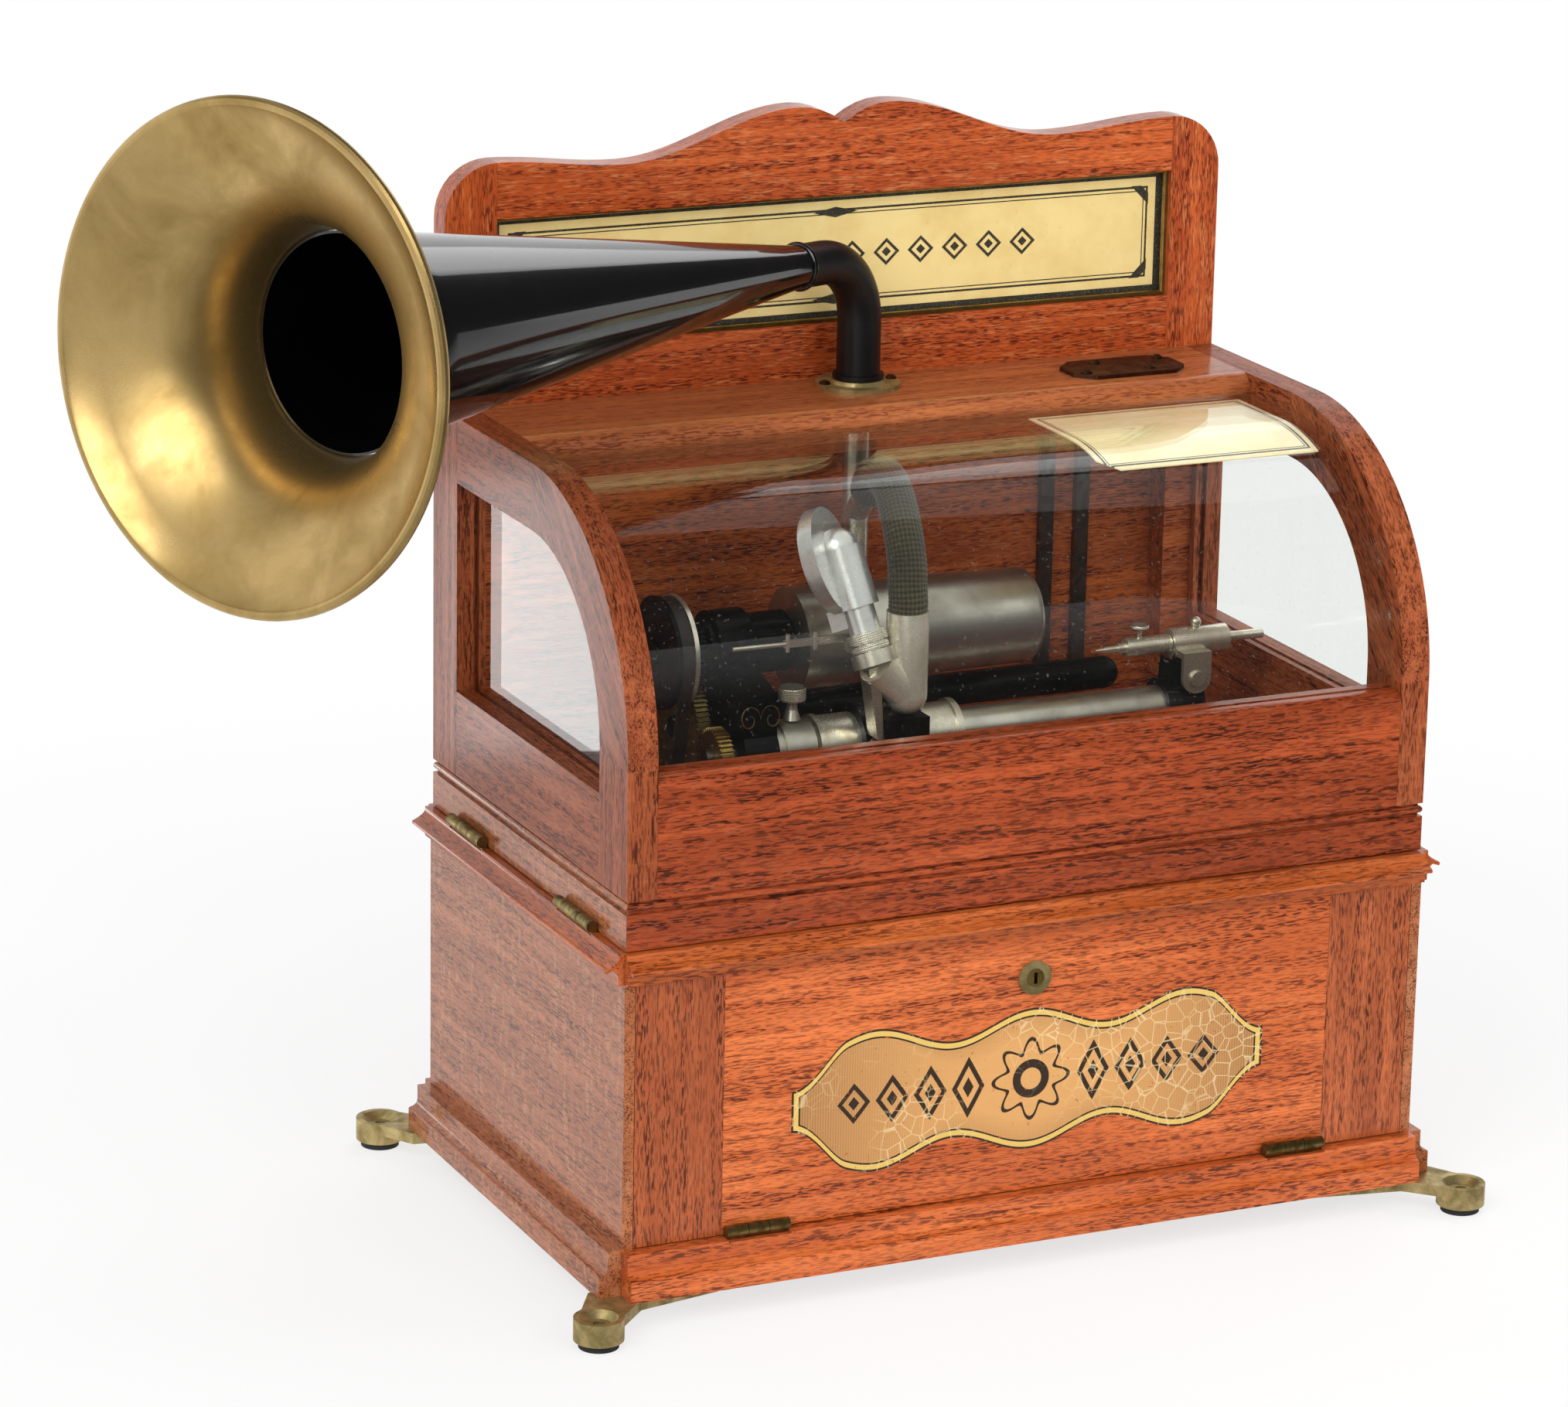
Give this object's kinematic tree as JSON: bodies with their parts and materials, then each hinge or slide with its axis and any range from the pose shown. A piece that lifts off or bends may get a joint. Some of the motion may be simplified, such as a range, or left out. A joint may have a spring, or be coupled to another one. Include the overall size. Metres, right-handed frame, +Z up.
{
  "type": "cylinder phonograph",
  "caption": "Coin-operated cylinder phonograph: oak cabinet with drop-front door, tilting glazed hood with sign board, spring motor, mandrel with sliding reproducer, swivelling brass-bell horn.",
  "frame": {"origin": "on the table, midway between the four foot screws, which is the middle of the cabinet's plan", "axes": "+X to the right along the front, +Y to the back, +Z up"},
  "size_m": [0.6408, 0.3344, 0.5295],
  "materials": {
    "oak": "stained and varnished quarter-sawn oak",
    "dark_oak": "darker stained oak",
    "aged_brass": "tarnished",
    "brass": "satin, lightly tarnished",
    "nickel": "worn nickel plate",
    "steel": "oiled steel",
    "japan": "gloss black japan",
    "aluminium": "satin",
    "glass": "clear",
    "card": "printed card, aged cream",
    "rubber": "matt black",
    "braid": "woven braid over rubber",
    "leather": "dark belt leather"
  },
  "bodies": {
    "cabinet": {"foot_brackets": "aged_brass", "foot_pads": "rubber", "base_moulding": "oak", "base_board": "oak", "side_panels": "oak", "cabinet_back": "oak", "waist_moulding": "oak", "motor_board": "dark_oak", "hinge_leaves": "brass", "bed_casting": "japan", "feed_tube": "steel", "end_bracket": "japan", "stop_clamp": "nickel", "standpipe": "nickel", "motor_frame": "aged_brass", "coin_box": "steel", "crank_bush": "aged_brass", "drive_belt": "leather"},
    "hood": {"hood_skirt": "oak", "end_frames": "oak", "front_rail": "oak", "top_shelf": "oak", "hood_back": "oak", "flat_panes": "glass", "front_glass": "glass", "sign_frame": "dark_oak", "sign_card": "card", "coin_plate": "aged_brass", "top_screws": "brass", "chute_strips": "steel", "instruction_card": "card", "horn_flange": "aged_brass", "hood_hinge_flaps": "brass"},
    "horn": {"bell": "brass", "cone": "japan", "elbow": "japan"},
    "carriage": {"carriage_sleeve": "nickel", "saddle": "japan", "carriage_arm": "nickel", "ferrule": "nickel", "hose": "braid", "trip_bar": "nickel"},
    "reproducer": {"reproducer_head": "aluminium", "neck_nuts": "nickel"},
    "mandrel_set": {"mandrel": "nickel", "drive_pulley": "steel"},
    "idler": {"idler_gear": "japan"},
    "feed": {"feed_screw": "steel", "feed_gear": "brass"},
    "barrel": {"spring_barrel": "brass"},
    "motor_shaft": {"motor_pulley": "steel"},
    "governor_set": {"governor": "brass"},
    "crank": {"winding_crank": "japan"},
    "door": {"door_panel": "oak", "door_cleats": "oak", "door_hinge_flaps": "brass", "lock_barrel": "aged_brass"},
    "lock": {"lock_cam": "brass"},
    "stop": {"stop_rod": "nickel"},
    "thumbscrew": {"bracket_screw": "nickel"}
  },
  "joints": [
    {"name": "hood_tilt", "type": "hinge", "parent": "cabinet", "child": "hood", "pos_m": [-0.1921, 0, 0.1669], "axis": [0, -1, 0], "range_deg": [0, 75]},
    {"name": "horn_swivel", "type": "hinge", "parent": "hood", "child": "horn", "pos_m": [0, 0.077, 0.3475], "axis": [0, 0, 1], "range_deg": [-15, 135]},
    {"name": "carriage_slide", "type": "slide", "parent": "cabinet", "child": "carriage", "axis": [1, 0, 0], "range_m": [0, 0.09], "deforming": ["hose"]},
    {"name": "reproducer_turn", "type": "hinge", "parent": "carriage", "child": "reproducer", "pos_m": [-0.0384, -0.02, 0.2581], "axis": [-0.1719, 0.3686, 0.9135], "range_deg": [-45, 45]},
    {"name": "mandrel_spin", "type": "hinge", "parent": "cabinet", "child": "mandrel_set", "pos_m": [0, 0.03, 0.2483], "axis": [1, 0, 0], "continuous": true},
    {"name": "idler_spin", "type": "hinge", "parent": "cabinet", "child": "idler", "pos_m": [0, 0.03764, 0.21128], "axis": [1, 0, 0], "continuous": true},
    {"name": "feed_spin", "type": "hinge", "parent": "cabinet", "child": "feed", "pos_m": [0, 0, 0.2078], "axis": [1, 0, 0], "continuous": true},
    {"name": "motor_spin", "type": "hinge", "parent": "cabinet", "child": "motor_shaft", "pos_m": [0, 0.0488, 0.12682], "axis": [1, 0, 0], "continuous": true},
    {"name": "barrel_spin", "type": "hinge", "parent": "cabinet", "child": "barrel", "pos_m": [0, 0.02, 0.0925], "axis": [1, 0, 0], "continuous": true},
    {"name": "governor_spin", "type": "hinge", "parent": "cabinet", "child": "governor_set", "pos_m": [0, 0.0668, 0.12682], "axis": [1, 0, 0], "continuous": true},
    {"name": "crank_turn", "type": "hinge", "parent": "cabinet", "child": "crank", "pos_m": [0, 0.02, 0.0925], "axis": [1, 0, 0], "continuous": true},
    {"name": "door_drop", "type": "hinge", "parent": "cabinet", "child": "door", "pos_m": [0, -0.1129, 0.0359], "axis": [1, 0, 0], "range_deg": [0, 90]},
    {"name": "lock_turn", "type": "hinge", "parent": "door", "child": "lock", "pos_m": [0, -0.104, 0.13], "axis": [0, -1, 0], "range_deg": [0, 90]},
    {"name": "stop_slide", "type": "slide", "parent": "cabinet", "child": "stop", "axis": [1, 0, 0], "range_m": [-0.01, 0]},
    {"name": "bracket_screw_turn", "type": "hinge", "parent": "cabinet", "child": "thumbscrew", "pos_m": [-0.06525, 0, 0.2278], "axis": [0, 0, 1], "continuous": true}
  ],
  "couplings": [
    {"joint": "idler_spin", "follows": "mandrel_spin", "ratio": -0.5},
    {"joint": "feed_spin", "follows": "mandrel_spin", "ratio": 1},
    {"joint": "motor_spin", "follows": "mandrel_spin", "ratio": 2},
    {"joint": "barrel_spin", "follows": "mandrel_spin", "ratio": -0.24},
    {"joint": "governor_spin", "follows": "mandrel_spin", "ratio": -8}
  ]
}
